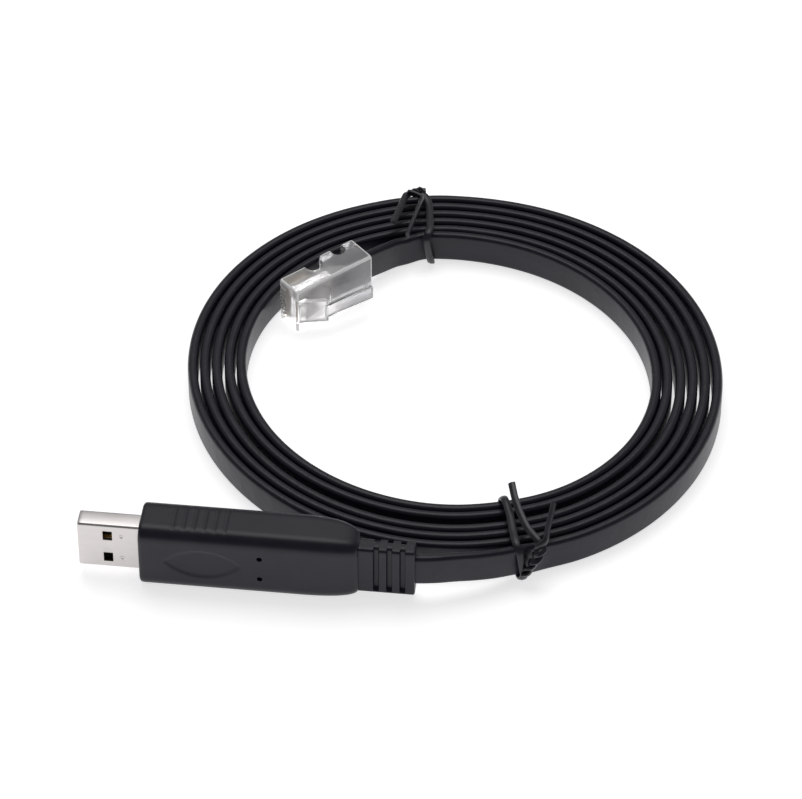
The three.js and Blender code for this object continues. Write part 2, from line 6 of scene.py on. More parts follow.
import bmesh
import bpy
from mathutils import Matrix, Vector


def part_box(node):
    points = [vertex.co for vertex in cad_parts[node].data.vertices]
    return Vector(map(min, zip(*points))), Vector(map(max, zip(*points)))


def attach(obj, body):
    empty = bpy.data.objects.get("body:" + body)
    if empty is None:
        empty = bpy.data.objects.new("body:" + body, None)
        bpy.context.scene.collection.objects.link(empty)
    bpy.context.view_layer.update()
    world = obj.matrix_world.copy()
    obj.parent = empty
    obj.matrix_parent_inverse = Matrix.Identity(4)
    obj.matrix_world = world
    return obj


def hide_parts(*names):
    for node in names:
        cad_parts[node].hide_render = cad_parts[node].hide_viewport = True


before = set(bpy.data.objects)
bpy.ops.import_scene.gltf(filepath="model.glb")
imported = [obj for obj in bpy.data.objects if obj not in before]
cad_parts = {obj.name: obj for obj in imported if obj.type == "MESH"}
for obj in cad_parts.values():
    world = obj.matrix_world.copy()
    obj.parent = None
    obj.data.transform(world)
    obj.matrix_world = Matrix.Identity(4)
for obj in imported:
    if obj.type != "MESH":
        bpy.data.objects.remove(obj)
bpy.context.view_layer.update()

MM = 0.001
SHELL_LOW, SHELL_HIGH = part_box("usb_shell")
ORIGIN = Vector((SHELL_LOW.x, (SHELL_LOW.y + SHELL_HIGH.y) / 2, 0.0))


def at(x, y, z):
    return ORIGIN + Vector((x, y, z)) * MM


def place_of(x, y, z):
    """The other way round: a point of the model's frame, as millimetres from the plug's tip."""
    return (Vector((x, y, z)) - ORIGIN) / MM


# Camera

CAMERA_AZIMUTH = math.radians(6.53)
CAMERA_ELEVATION = math.radians(41.84)
CAMERA_DISTANCE = 989.156
CAMERA_TARGET = (61.69, 59.95, 0.0)


def make_camera():
    data = bpy.data.cameras.new("camera")
    data.lens = 200.0
    data.sensor_width = 36.0
    data.clip_start = 0.05
    data.clip_end = 10.0
    camera = bpy.data.objects.new("camera", data)
    bpy.context.scene.collection.objects.link(camera)
    direction = Vector((
        math.sin(CAMERA_AZIMUTH) * math.cos(CAMERA_ELEVATION),
        -math.cos(CAMERA_AZIMUTH) * math.cos(CAMERA_ELEVATION),
        math.sin(CAMERA_ELEVATION),
    ))
    camera.location = at(*CAMERA_TARGET) + direction * CAMERA_DISTANCE * MM
    camera.rotation_euler = direction.to_track_quat("Z", "Y").to_euler()
    bpy.context.scene.camera = camera


# Materials

class Shader:
    """A Principled material whose colour, roughness and bump come from nodes."""

    def __init__(self, name, roughness=0.5, metallic=0.0):
        self.material = bpy.data.materials.new(name)
        self.material.use_nodes = True
        self.tree = self.material.node_tree
        self.shader = self.tree.nodes["Principled BSDF"]
        self.shader.inputs["Roughness"].default_value = roughness
        self.shader.inputs["Metallic"].default_value = metallic
        self.place = self.node("ShaderNodeTexCoord").outputs["Object"]

    def node(self, kind, **values):
        node = self.tree.nodes.new(kind)
        for key, value in values.items():
            setattr(node, key, value)
        return node

    def link(self, source, target):
        self.tree.links.new(source, target)

    def stretched(self, scale):
        node = self.node("ShaderNodeMapping")
        node.inputs["Scale"].default_value = scale
        self.link(self.place, node.inputs["Vector"])
        return node.outputs["Vector"]

    def noise(self, scale, detail=3.0, roughness=0.5, stretch=(1, 1, 1)):
        node = self.node("ShaderNodeTexNoise")
        node.inputs["Scale"].default_value = scale
        node.inputs["Detail"].default_value = detail
        node.inputs["Roughness"].default_value = roughness
        self.link(self.stretched(stretch), node.inputs["Vector"])
        return node.outputs["Fac"]

    def ramp(self, source, low, high, start=0.35, end=0.65):
        node = self.node("ShaderNodeValToRGB")
        first, last = node.color_ramp.elements
        first.position = start
        last.position = end
        first.color = (*low, 1.0)
        last.color = (*high, 1.0)
        self.link(source, node.inputs["Fac"])
        return node.outputs["Color"]

    def range(self, source, low, high, start=0.3, end=0.7):
        node = self.node("ShaderNodeMapRange")
        for key, value in (
            ("From Min", start), ("From Max", end), ("To Min", low), ("To Max", high),
        ):
            node.inputs[key].default_value = value
        self.link(source, node.inputs["Value"])
        return node.outputs["Result"]

    def colour(self, output):
        self.link(output, self.shader.inputs["Base Color"])

    def bump(self, height, strength, distance):
        node = self.node("ShaderNodeBump")
        node.inputs["Strength"].default_value = strength
        node.inputs["Distance"].default_value = distance
        self.link(height, node.inputs["Height"])
        previous = self.shader.inputs["Normal"].links
        if previous:
            self.link(previous[0].from_socket, node.inputs["Normal"])
        self.link(node.outputs["Normal"], self.shader.inputs["Normal"])


def moulding_material():
    made = Shader("housing_moulding", roughness=0.5)
    made.shader.inputs["Specular IOR Level"].default_value = 0.35
    made.colour(made.ramp(made.noise(220, 4), (0.0104, 0.0098, 0.0185), (0.0136, 0.013, 0.023)))
    grain = made.noise(9000, 2, 0.6)
    made.link(made.range(grain, 0.3, 0.42), made.shader.inputs["Roughness"])
    made.bump(grain, 0.3, 0.00005)
    return made.material


def jacket_material():
    made = Shader("cable_jacket", roughness=0.5)
    made.shader.inputs["Specular IOR Level"].default_value = 0.35
    made.colour(made.ramp(made.noise(160, 3), (0.0104, 0.0098, 0.0185), (0.0144, 0.0138, 0.024)))
    grain = made.noise(5000, 2, 0.55)
    made.link(made.range(grain, 0.3, 0.42), made.shader.inputs["Roughness"])
    made.bump(grain, 0.25, 0.00004)
    made.bump(made.noise(260, 2, 0.5), 0.3, 0.0004)
    return made.material


def plated_material(name, low, high, roughness):
    made = Shader(name, roughness=roughness, metallic=1.0)
    brushed = made.noise(900, 4, 0.6, stretch=(0.12, 1.0, 1.0))
    made.colour(made.ramp(brushed, low, high))
    made.link(made.range(brushed, roughness - 0.06, roughness + 0.08),
              made.shader.inputs["Roughness"])
    made.bump(brushed, 0.08, 0.00001)
    return made.material


def plastic_material(name, low, high, roughness):
    made = Shader(name, roughness=roughness)
    mottle = made.noise(600, 3)
    made.colour(made.ramp(mottle, low, high))
    made.bump(made.noise(3000, 2), 0.15, 0.00003)
    return made.material


def clear_material(name, transmission, nose, rear):
    """Clear plastic with painted light and shade: its colour is near white at the nose, which is
    full of ribs, and greyer round the jacket, mottled by noise.
    """
    made = Shader(name)
    made.shader.inputs["Transmission Weight"].default_value = transmission
    made.shader.inputs["IOR"].default_value = 1.46
    cloud = made.noise(300, 3)
    along = made.node("ShaderNodeVectorMath", operation="DOT_PRODUCT")
    along.inputs[1].default_value = (math.cos(PLUG_HEADING), math.sin(PLUG_HEADING), 0)
    made.link(made.place, along.inputs[0])
    end = at(*behind_plug(0)).dot(along.inputs[1].default_value)
    share = made.range(along.outputs["Value"], 0, 1, end - PLUG_LENGTH * MM, end)
    shade = made.node("ShaderNodeMath", operation="ADD")
    made.link(share, shade.inputs[0])
    made.link(made.range(cloud, -0.1, 0.1), shade.inputs[1])
    # Painted light and shade: the colour runs from near white at the nose to grey towards the rear.
    made.colour(made.ramp(shade.outputs["Value"], nose, rear, 0.42, 0.62))
    made.link(made.range(cloud, 0.07, 0.18), made.shader.inputs["Roughness"])
    made.bump(made.noise(420, 2), 0.12, 0.0001)
    return made.material


# Meshes

SHARP_EDGE = math.radians(38)


def finish_mesh(mesh, sharp=SHARP_EDGE):
    work = bmesh.new()
    work.from_mesh(mesh)
    bmesh.ops.remove_doubles(work, verts=work.verts, dist=1e-7)
    bmesh.ops.recalc_face_normals(work, faces=work.faces)
    work.to_mesh(mesh)
    work.free()
    for face in mesh.polygons:
        face.use_smooth = True
    mesh.set_sharp_from_angle(angle=sharp)


def piece(name, points, faces, material, sharp=SHARP_EDGE):
    mesh = bpy.data.meshes.new(name)
    mesh.from_pydata([tuple(point) for point in points], [], faces)
    finish_mesh(mesh, sharp)
    mesh.materials.append(material)
    made = bpy.data.objects.new(name, mesh)
    bpy.context.scene.collection.objects.link(made)
    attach(made, "root")
    return made


def loft(rings, caps=True):
    """Points and faces of a skin over rings that have as many points each."""
    count = len(rings[0])
    points = [point for ring in rings for point in ring]
    faces = []
    for row in range(len(rings) - 1):
        for k in range(count):
            a = row * count + k
            b = row * count + (k + 1) % count
            faces.append((a, b, b + count, a + count))
    if caps:
        faces.append(tuple(range(count)))
        faces.append(tuple(range(len(points) - count, len(points))))
    return points, faces


def steps(start, end, size):
    count = max(1, math.ceil((end - start) / size - 1e-9))
    return [start + (end - start) * k / count for k in range(count + 1)]


def smoothstep(value):
    value = min(1.0, max(0.0, value))
    return value * value * (3 - 2 * value)


def rounded_outline(width, height, radius, size=None, corner_steps=8):
    """A rounded rectangle's points, anticlockwise, with its straight sides cut up by size."""
    x = width / 2 - radius
    y = height / 2 - radius
    points = []
    corners = [(x, y, 0), (-x, y, 90), (-x, -y, 180), (x, -y, 270)]
    for index, (cx, cy, start) in enumerate(corners):
        for k in range(corner_steps + 1):
            turn = math.radians(start + 90 * k / corner_steps)
            points.append((cx + radius * math.cos(turn), cy + radius * math.sin(turn)))
        if size:
            nx, ny, begin = corners[(index + 1) % 4]
            turn = math.radians(begin)
            end = (nx + radius * math.cos(turn), ny + radius * math.sin(turn))
            last = points[-1]
            run = math.dist(last, end)
            parts = max(1, math.ceil(run / size))
            for k in range(1, parts):
                share = k / parts
                points.append((
                    last[0] + (end[0] - last[0]) * share, last[1] + (end[1] - last[1]) * share,
                ))
    return points


# Paths

def catmull_rom(points, size):
    """A centripetal Catmull-Rom curve through the points, sampled about every size."""
    places = [Vector(point) for point in points]
    places = [places[0] * 2 - places[1], *places, places[-1] * 2 - places[-2]]
    samples = []
    for a, b, c, d in zip(places, places[1:], places[2:], places[3:]):
        knots = [0.0]
        for start, end in ((a, b), (b, c), (c, d)):
            knots.append(knots[-1] + math.sqrt(max((end - start).length, 1e-6)))
        t0, t1, t2, t3 = knots
        parts = max(2, math.ceil((c - b).length / size))
        for k in range(parts):
            t = t1 + (t2 - t1) * k / parts
            ab = a.lerp(b, (t - t0) / (t1 - t0))
            bc = b.lerp(c, (t - t1) / (t2 - t1))
            cd = c.lerp(d, (t - t2) / (t3 - t2))
            abc = ab.lerp(bc, (t - t0) / (t2 - t0))
            bcd = bc.lerp(cd, (t - t1) / (t3 - t1))
            samples.append(abc.lerp(bcd, (t - t1) / (t2 - t1)))
    samples.append(places[-2])
    return samples


def tangents(path):
    last = len(path) - 1
    return [(path[min(k + 1, last)] - path[max(k - 1, 0)]).normalized() for k in range(last + 1)]


def upright_rings(path, outline):
    """The outline's first number lies level, across the path, and its second stands up."""
    rings = []
    for place, along in zip(path, tangents(path)):
        left = Vector((-along.y, along.x, 0)).normalized()
        up = along.cross(left)
        rings.append([at(*(place + left * u + up * v)) for u, v in outline])
    return rings


def carried_rings(path, outline, side=None):
    """The outline is carried along the path without turning about it."""
    ways = tangents(path)
    side = Vector(side) if side else ways[0].orthogonal()
    rings = []
    for place, along in zip(path, ways):
        side = (side - along * side.dot(along)).normalized()
        across = along.cross(side)
        rings.append([at(*(place + side * u + across * v)) for u, v in outline])
    return rings


# Cable

CABLE_WIDTH = 7.5
CABLE_THICK = 2.2
CABLE_ROUND = 0.95
AXIS_HEIGHT = 8.0
RELIEF_END = 71.85
RELIEF_OFFSET = -1.65

# From where the cable leaves the strain relief
USB_LEAD = [
    (-2.0, -1.65, 8.0),
    (0.3, -1.65, 8.0),
    (4.2, -0.95, 7.85),
    (8.2, 0.4, 7.45),
    (12.2, 1.8, 6.9),
    (16.4, 3.7, 6.2),
    (20.6, 6.1, 5.5),
    (23.8, 8.2, 4.5),
]

SPIRAL_CENTRE = (72.31, 64.29)
SPIRAL_START = -65.0              # degrees
SPIRAL_TURNS = 5.47
SPIRAL_STEP = 7.5                 # degrees
SPIRAL_RADIUS = 59.3
SPIRAL_PITCH = 2.68
CABLE_REST = 3.75                 # height of the cable's middle, lying on its edge
FRONT_SHIFTS = {3: 0.3, 4: -0.9, 5: -0.6}   # of these turns, at the front of the coil
FRONT_ANGLE = -85.0
FRONT_REACH = 60.0
BULGE = 1.1                       # the outer turns stand further out at the back right
BULGE_ANGLE = 45.0
BULGE_REACH = 40.0
TIE_ANGLES = (-70.5, 102.2)       # degrees, about the spiral's centre
TIE_LIFT = 0.3                    # the turns ride over the wire that passes under them
TIE_LIFT_REACH = 9.0

PLUG_REAR = (48.55, 97.37)
PLUG_HEADING = math.radians(44.4)
PLUG_WIDTH = 11.68
INSIDE_PLUG = (0.0, -5.5, -10.4)  # the jacket's last points, behind the plug's rear
PLUG_LEAD = [
    (57.45, 106.72, 3.8),
    (55.3, 105.25, 4.1),
    (53.2, 102.95, 4.6),
    (51.35, 100.6, 5.25),
]


def behind_plug(distance):
    return (
        PLUG_REAR[0] + distance * math.cos(PLUG_HEADING),
        PLUG_REAR[1] + distance * math.sin(PLUG_HEADING),
        PLUG_WIDTH / 2,
    )


def nearness(angle, place, reach):
    """1 at a place on the coil, falling to 0 away from it; all in degrees."""
    apart = (angle - place + 180) % 360 - 180
    return math.exp(-(apart / reach) ** 2)


def spiral_point(turns):
    degrees = SPIRAL_START + 360 * turns
    angle = math.radians(degrees)
    radius = (
        SPIRAL_RADIUS - SPIRAL_PITCH * turns
        + 0.9 * max(0.0, turns - 4.9) - 1.1 * math.sin(2 * angle)
    )
    radius += FRONT_SHIFTS.get(round(turns), 0.0) * nearness(degrees, FRONT_ANGLE, FRONT_REACH)
    radius += BULGE * (1 - turns / SPIRAL_TURNS) * nearness(degrees, BULGE_ANGLE, BULGE_REACH)
    height = CABLE_REST
    for tie in TIE_ANGLES:
        apart = (math.degrees(angle) - tie + 180) % 360 - 180
        arc = math.radians(apart) * radius
        height += TIE_LIFT * math.exp(-(arc / TIE_LIFT_REACH) ** 2)
    return (
        SPIRAL_CENTRE[0] + radius * math.cos(angle),
        SPIRAL_CENTRE[1] + radius * math.sin(angle),
        height,
    )


def cable_route():
    points = [(RELIEF_END + x, y, z) for x, y, z in USB_LEAD]
    count = round(SPIRAL_TURNS * 360 / SPIRAL_STEP)
    points += [spiral_point(SPIRAL_TURNS * k / count) for k in range(count + 1)]
    points += PLUG_LEAD
    points += [behind_plug(distance) for distance in INSIDE_PLUG]
    return points


def make_cable(material):
    path = catmull_rom(cable_route(), 1.3)
    outline = rounded_outline(CABLE_THICK, CABLE_WIDTH, CABLE_ROUND, corner_steps=5)
    points, faces = loft(upright_rings(path, outline))
    cable = piece("cable", points, faces, material)
    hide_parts("cable_usb_lead", "cable_coil", "cable_plug_lead")
    return cable, [tuple(at(*place)) for place in path]


# Housing

HOUSING_START = 13.3
HOUSING_LENGTH = 46.6
HOUSING_END = HOUSING_START + HOUSING_LENGTH
HOUSING_HEIGHT = 16.0
HOUSING_THICK = 11.2
HOUSING_CORNER = 2.8
FRONT_ROUND = 1.0
TAPER_LENGTH = 12.5
TAPER_FULLNESS = 0.95
RELIEF_HEIGHT = 12.3
RELIEF_THICK = 4.0
RELIEF_LIP = 0.3
RECESS_MIDDLE = HOUSING_START + 13.7
RECESS_HALF_LENGTH = 8.2
RECESS_HALF_HEIGHT = 3.7
RECESS_DEPTH = 0.35
GRIP_GROOVES = [20.6 + 2.2 * k for k in range(6)]
GRIP_END = 36.0                   # the skin is fine up to here, for the grooves and the recess
GRIP_DEPTH = 0.13
GRIP_HALF_WIDTH = 0.36
LIGHT_HOLE_X = HOUSING_START + 25.9
LIGHT_HOLE_PITCH = 5.7
LIGHT_HOLE_RADIUS = 0.6
LIGHT_HOLE_DEPTH = 1.0


def shoulder(x, full, end):
    """A side's distance from the middle plane at x: rounded front, straight, round shoulder."""
    front = x - HOUSING_START
    if front < FRONT_ROUND:
        share = 1 - math.sqrt(max(0.0, front / FRONT_ROUND))
        return full - FRONT_ROUND * share * share
    start = HOUSING_END - TAPER_LENGTH
    if x <= start:
        return full
    bend = TAPER_FULLNESS
    share = (x - start) / TAPER_LENGTH
    t = share if abs(1 - 2 * bend) < 1e-9 else (
        (-bend + math.sqrt(bend * bend + (1 - 2 * bend) * share)) / (1 - 2 * bend)
    )
    return full * ((1 - t) ** 2 + 2 * t * (1 - t)) + end * t * t


def recess_depth(x, z):
    along = x - RECESS_MIDDLE
    rise = RECESS_HALF_HEIGHT
    radius = (RECESS_HALF_LENGTH ** 2 + rise ** 2) / (2 * rise)
    inside = min(
        radius - math.hypot(along, z + side * (radius - rise)) for side in (-1, 1)
    )
    return RECESS_DEPTH * smoothstep(inside / 0.55 + 0.3)


def groove_depth(x):
    nearest = min(abs(x - groove) for groove in GRIP_GROOVES)
    return GRIP_DEPTH * smoothstep(1.4 - nearest / GRIP_HALF_WIDTH)


def make_housing(material):
    high_end = RELIEF_HEIGHT / 2 + RELIEF_LIP
    thick_end = RELIEF_THICK / 2 + RELIEF_LIP
    outline = rounded_outline(
        HOUSING_THICK, HOUSING_HEIGHT, HOUSING_CORNER, size=0.4, corner_steps=9,
    )
    xs = (
        steps(HOUSING_START, HOUSING_START + FRONT_ROUND, 0.12)
        + steps(HOUSING_START + FRONT_ROUND, GRIP_END, 0.28)[1:]
        + steps(GRIP_END, HOUSING_END - TAPER_LENGTH, 0.6)[1:]
        + steps(HOUSING_END - TAPER_LENGTH, HOUSING_END, 0.3)[1:]
    )
    rings = []
    for x in xs:
        half_height = shoulder(x, HOUSING_HEIGHT / 2, high_end)
        back = shoulder(x, HOUSING_THICK / 2, RELIEF_OFFSET + thick_end)
        front = shoulder(x, HOUSING_THICK / 2, thick_end - RELIEF_OFFSET)
        ring = []
        for u, v in outline:
            y = u * (back if u > 0 else front) / (HOUSING_THICK / 2)
            z = v * half_height / (HOUSING_HEIGHT / 2)
            flat_z = min(1.0, (HOUSING_HEIGHT / 2 - HOUSING_CORNER + 0.6 - abs(v)) / 0.6)
            flat_y = min(1.0, (HOUSING_THICK / 2 - HOUSING_CORNER + 1.4 - abs(u)) / 1.4)
            if u < 0 and flat_z > 0:
                y += recess_depth(x, v) * flat_z
            if flat_y > 0:
                z -= math.copysign(groove_depth(x) * smoothstep(flat_y), v)
            ring.append(at(x, y, AXIS_HEIGHT + z))
        rings.append(ring)
    points, faces = loft(rings)
    housing = piece("housing", points, faces, material)
    circle = [
        (LIGHT_HOLE_RADIUS * math.cos(2 * math.pi * k / 24),
         LIGHT_HOLE_RADIUS * math.sin(2 * math.pi * k / 24)) for k in range(24)
    ]
    holes = []
    for side in (-1, 1):
        level = AXIS_HEIGHT + side * LIGHT_HOLE_PITCH / 2
        holes.append(prism(
            circle, -HOUSING_THICK, LIGHT_HOLE_DEPTH - HOUSING_THICK / 2,
            lambda u, v, y, level=level: at(LIGHT_HOLE_X + u, y, level + v),
        ))
    combine(housing, holes)
    finish_mesh(housing.data)
    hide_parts("usb_housing")
    return housing


# Strain relief

SLOTS = 3
SLOT_WIDTH = 1.1
SLOT_PITCH = 2.8
SLOT_DEPTH = 0.85
SLOT_FROM_END = 2.6
SLOT_FOOT = 5.4                   # the slots end this far below the middle
RELIEF_CORNER = 0.7
EDGE_ROUND = 0.35


def slot_share(x):
    """How far into a slot the place is: 1 in a slot, 0 on a rib."""
    centres = [RELIEF_END - SLOT_FROM_END - SLOT_PITCH * k for k in range(SLOTS)]
    nearest = min(abs(x - centre) for centre in centres)
    return smoothstep((SLOT_WIDTH / 2 + 0.09 - nearest) / 0.18)


def make_relief(material):
    start = HOUSING_END
    outline = rounded_outline(RELIEF_THICK, RELIEF_HEIGHT, RELIEF_CORNER, size=0.6)
    rings = []
    for x in steps(start, RELIEF_END, 0.06):
        round_off = max(0.0, 1 - (RELIEF_END - x) / EDGE_ROUND)
        pull = EDGE_ROUND * (1 - math.sqrt(max(0.0, 1 - round_off ** 2)))
        share = slot_share(x)
        ring = []
        for u, v in outline:
            depth = share * SLOT_DEPTH * smoothstep((v + SLOT_FOOT) / 0.5)
            y = math.copysign(max(0.0, abs(u) - depth - pull), u)
            z = math.copysign(abs(v) - pull, v)
            ring.append(at(x, RELIEF_OFFSET + y, AXIS_HEIGHT + z))
        rings.append(ring)
    points, faces = loft(rings)
    relief = piece("relief", points, faces, material)
    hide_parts("strain_relief")
    return relief


# Wire ties: one flat coated wire goes round the coil, its two ends are twisted together,
# and then each stands free. Points are (outside the coil's rim, along it, above its top).

COIL_CENTRE = (73.4, 63.8)
COIL_RIM = 60.2
TIE_WIDTH = 1.7
TIE_THICK = 0.8
TIE_RIDGE = 0.95                  # the metal core stands proud in the middle of the band
TIE_TWISTS = 2.0
TIE_TWIST_RADIUS = 0.62
TIES = {
    "front": {
        "angle": -71.0,
        "loop": [
            (2.7, 0.6, -4.3), (2.3, 0.3, -5.8), (1.2, 0.1, -6.8), (-0.8, 0.0, -6.95),
            (-8.0, 0.0, -6.95), (-13.8, 0.0, -6.95), (-15.7, 0.0, -6.6), (-16.5, 0.0, -5.4),
            (-16.5, 0.0, -1.0), (-15.6, 0.0, 1.0), (-14.4, 0.0, 2.0), (-13.2, 0.0, 2.4),
            (-9.3, 0.0, 2.35),
            (-4.0, -0.5, 2.2), (0.2, -0.8, 2.2), (1.5, -0.5, 1.4), (2.3, -0.2, -0.8),
            (2.6, 0.1, -3.0), (2.6, 0.6, -5.0),
        ],
        "knot": [(2.7, 0.5, -4.6), (3.0, 1.6, -2.4), (3.0, 2.9, 0.2), (2.5, 4.0, 2.7)],
        "ends": [
            [(1.2, 3.7, 3.2), (-2.8, 2.4, 3.5), (-7.6, 1.8, 4.0), (-10.8, 1.6, 4.7),
             (-15.0, 1.8, 5.5)],
            [(1.9, 5.0, 3.5), (-0.9, 6.3, 4.5), (-3.6, 7.6, 5.3), (-6.5, 8.9, 6.0)],
        ],
    },
    "back": {
        "angle": 103.2,
        "loop": [
            (-2.2, 0.6, 2.5), (-3.6, -0.3, 2.3), (-5.8, -0.7, 2.1), (-10.5, -0.3, 2.1),
            (-14.8, 0.2, 2.2), (-16.3, 0.9, 1.9), (-17.0, 1.2, 0.9), (-17.1, 0.8, -2.5),
            (-16.8, 0.3, -5.2), (-15.9, 0.0, -6.7), (-14.4, 0.0, -6.95), (-8.0, 0.0, -6.95),
            (-1.4, 0.0, -6.95), (0.3, 0.0, -6.7), (0.95, 0.0, -5.4), (0.95, 0.0, -0.4),
            (0.5, 0.1, 1.2), (-0.6, 0.2, 2.2), (-2.2, 0.4, 2.7),
        ],
        "knot": [(-1.8, 0.5, 2.5), (-2.3, 1.6, 3.1), (-2.7, 2.6, 3.3), (-2.6, 3.6, 3.3)],
        "ends": [
            [(-3.6, 4.3, 3.5), (-5.7, 5.2, 3.7), (-9.5, 6.7, 3.9), (-13.7, 8.5, 4.1)],
            [(-5.0, 0.9, 3.6), (-7.4, 1.6, 3.7), (-10.2, 2.7, 3.8), (-13.5, 3.9, 3.9),
             (-18.6, 5.8, 4.1)],
        ],
    },
}


def at_coil(angle, point):
    outside, along, above = point
    turn = math.radians(angle)
    radius = COIL_RIM + outside
    return Vector((
        COIL_CENTRE[0] + radius * math.cos(turn) - along * math.sin(turn),
        COIL_CENTRE[1] + radius * math.sin(turn) + along * math.cos(turn),
        CABLE_WIDTH + above,
    ))


def band_outline(width, thick, ridge, count=20):
    """A flat band with round edges and a low ridge along the middle of both faces."""
    points = []
    for k in range(count):
        turn = 2 * math.pi * k / count
        u = width / 2 * math.cos(turn)
        flat = thick / 2 * abs(math.sin(turn)) ** 0.6
        core = ridge / 2 * math.sqrt(max(0.0, 1 - (2 * u / ridge) ** 2))
        points.append((u, math.copysign(max(flat, core), math.sin(turn))))
    return points


def twisted(path, phase):
    """One of the two wires twisted round the path, which it leaves at both ends."""
    ways = tangents(path)
    side = ways[0].orthogonal().normalized()
    points = []
    last = len(path) - 1
    for k, (place, along) in enumerate(zip(path, ways)):
        side = (side - along * side.dot(along)).normalized()
        turn = phase + 2 * math.pi * TIE_TWISTS * k / last
        across = along.cross(side)
        points.append(place + (side * math.cos(turn) + across * math.sin(turn)) * TIE_TWIST_RADIUS)
    return points


def make_tie(name, tie, material):
    angle = tie["angle"]
    turn = math.radians(angle)
    along_coil = (-math.sin(turn), math.cos(turn), 0)
    band = band_outline(TIE_WIDTH, TIE_THICK, TIE_RIDGE)
    narrow = band_outline(TIE_WIDTH * 0.94, TIE_THICK, TIE_RIDGE)
    loop = catmull_rom([at_coil(angle, point) for point in tie["loop"]], 0.35)
    parts = [loft(carried_rings(loop, band, along_coil))]
    knot = catmull_rom([at_coil(angle, point) for point in tie["knot"]], 0.5)
    for phase, end in zip((0.0, math.pi), tie["ends"]):
        corners = twisted(knot, phase)[::2] + [at_coil(angle, point) for point in end]
        path = catmull_rom(corners, 0.3)
        parts.append(loft(carried_rings(path, narrow, along_coil)))
    points = []
    faces = []
    for more_points, more_faces in parts:
        start = len(points)
        points += more_points
        faces += [tuple(start + index for index in face) for face in more_faces]
    made = piece("tie_" + name, points, faces, material)
    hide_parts("wire_tie_" + name)
    return made


# Solids cut from one another

def prism(corners, low, high, place):
    """A bar over an outline; place() turns (u, v, height) into the model's frame."""
    points = [place(u, v, level) for level in (low, high) for u, v in corners]
    count = len(corners)
    faces = [tuple(range(count)), tuple(range(count, 2 * count))]
    for k in range(count):
        after = (k + 1) % count
        faces.append((k, after, count + after, count + k))
    mesh = bpy.data.meshes.new("tool")
    mesh.from_pydata([tuple(point) for point in points], [], faces)
    finish_mesh(mesh)
    tool = bpy.data.objects.new("tool", mesh)
    bpy.context.scene.collection.objects.link(tool)
    return tool


def apply_modifiers(target):
    bpy.context.view_layer.update()
    shape = target.evaluated_get(bpy.context.evaluated_depsgraph_get())
    mesh = bpy.data.meshes.new_from_object(shape)
    target.modifiers.clear()
    target.data = mesh


def combine(target, tools, operation="DIFFERENCE"):
    for tool in tools:
        modifier = target.modifiers.new(operation, "BOOLEAN")
        modifier.operation = operation
        modifier.solver = "EXACT"
        modifier.object = tool
    apply_modifiers(target)
    for tool in tools:
        bpy.data.objects.remove(tool)


def soften(target, width, segments=2, angle=30, edge=-1):
    modifier = target.modifiers.new("bevel", "BEVEL")
    modifier.width = width * MM
    modifier.segments = segments
    modifier.limit_method = "ANGLE"
    modifier.angle_limit = math.radians(angle)
    modifier.use_clamp_overlap = True
    modifier.material = edge
    apply_modifiers(target)


def finish_solid(target, name):
    """Turns a cut solid into a piece of its own."""
    target.name = name
    target.data.name = name
    finish_mesh(target.data)
    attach(target, "root")


def rectangle(u0, v0, u1, v1):
    return [(u0, v0), (u1, v0), (u1, v1), (u0, v1)]


# Clear modular plug: x runs from its nose to its rear, y from the latch side to the
# contact side, z up

PLUG_LENGTH = 21.46
PLUG_REAR_THICK = 7.72
PLUG_NOSE_THICK = 6.6
PLUG_NOSE_LENGTH = 11.4
PLUG_BACK = -PLUG_REAR_THICK / 2
PLUG_NOSE_FACE = PLUG_BACK + PLUG_NOSE_THICK
CAVITY = (4.4, 8.6, 11.0)         # thickness, height and depth of the jacket's opening
CONDUCTORS = 8
CONDUCTOR_PITCH = 1.02
NOSE_STEP = 0.8                   # length of the slope from the nose part to the rear part
BODY_ROUND = 0.55
WIRE_CHANNEL = 1.06
WIRE_CHANNEL_START = 1.6
WIRE_CHANNEL_HALF_HEIGHT = 4.18
SIDE_WALL = 0.9
NOSE_POCKET = (7.0, 11.4, -0.1)   # start, end and bottom
REAR_POCKET = (14.9, 18.3, 0.9)
BLADE_SLOT_END = 6.7
BLADE_SLOT_FLOOR = 0.6
BLADE_SLOT_HALF_WIDTH = 0.27
LATCH_BED = (9.6, 0.4, 3.3)       # end, depth and half height of the hollow behind the latch
LATCH_ROUND = 0.3
LATCH_ROOT = (0.5, 2.5)
LATCH_BEND = 6.2
LATCH_BEND_OFF = 3.1
LATCH_REACH = 18.0
LATCH_STAND_OFF = 4.2
LATCH_THICK = 1.0
LATCH_ROOT_WIDTH = 6.0
LATCH_TAB_WIDTH = 3.3


def in_plug(x, y, z):
    nose = behind_plug(-PLUG_LENGTH)
    return at(
        nose[0] + x * math.cos(PLUG_HEADING) - y * math.sin(PLUG_HEADING),
        nose[1] + x * math.sin(PLUG_HEADING) + y * math.cos(PLUG_HEADING),
        z,
    )


def plug_bar(corners, low, high):
    return prism(corners, low, high, in_plug)


def plug_block(x0, x1, y0, y1, z0, z1):
    return plug_bar(rectangle(x0, y0, x1, y1), z0, z1)


def bowl(x0, x1, top, bottom, count=10):
    """An opening in the contact side with a round bottom."""
    middle = (x0 + x1) / 2
    half = (x1 - x0) / 2
    deep = min(half, top - bottom)
    points = [(x1, top + 2), (x0, top + 2)]
    for k in range(count + 1):
        turn = math.pi * (1 + k / count)
        points.append((middle + half * math.cos(turn), bottom + deep + deep * math.sin(turn)))
    return points


def wear(solid, *materials):
    for material in materials:
        solid.data.materials.append(material)


def latch_strip(corners, width):
    low = (PLUG_WIDTH - width) / 2
    return plug_bar([(x, PLUG_BACK - off) for x, off in corners], low, low + width)


